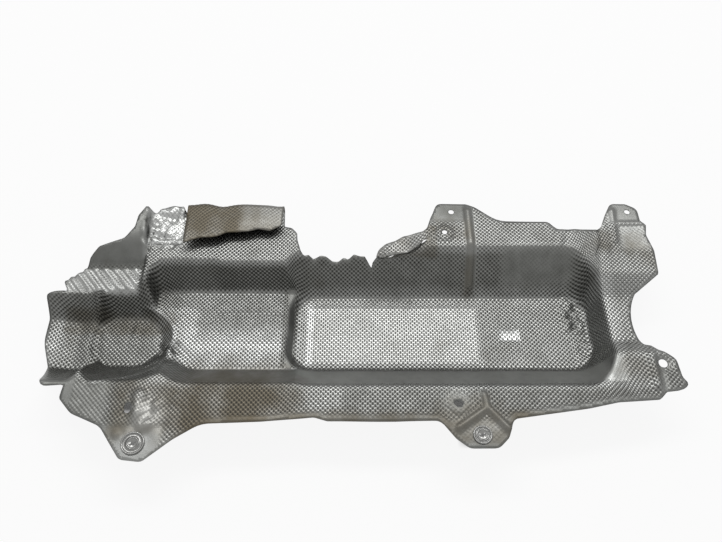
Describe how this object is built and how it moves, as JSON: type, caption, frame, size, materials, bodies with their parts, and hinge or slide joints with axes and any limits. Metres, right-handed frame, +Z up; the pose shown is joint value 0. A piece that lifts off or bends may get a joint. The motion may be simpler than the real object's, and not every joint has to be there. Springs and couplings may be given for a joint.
{
  "type": "heat shield",
  "caption": "Long embossed aluminium tunnel heat shield: a drawn trough with a deck, a bowl, side flanges and fixing lugs, torn along one edge.",
  "frame": {"origin": "under the middle of the flat pad in the pan's floor, on the pad's under face", "axes": "+X along the trough towards the notched end, +Y towards the torn far flange, +Z up, from the pad to the flanges"},
  "size_m": [0.8237, 0.377, 0.0776],
  "materials": {
    "embossed_aluminium": "embossed all over, silver with brown heat stains",
    "clip_steel": "plated spring steel, bright"
  },
  "bodies": {
    "root": {"shield_panel": "embossed_aluminium", "stud_clip_left": "clip_steel", "stud_clip_middle": "clip_steel"}
  },
  "joints": []
}
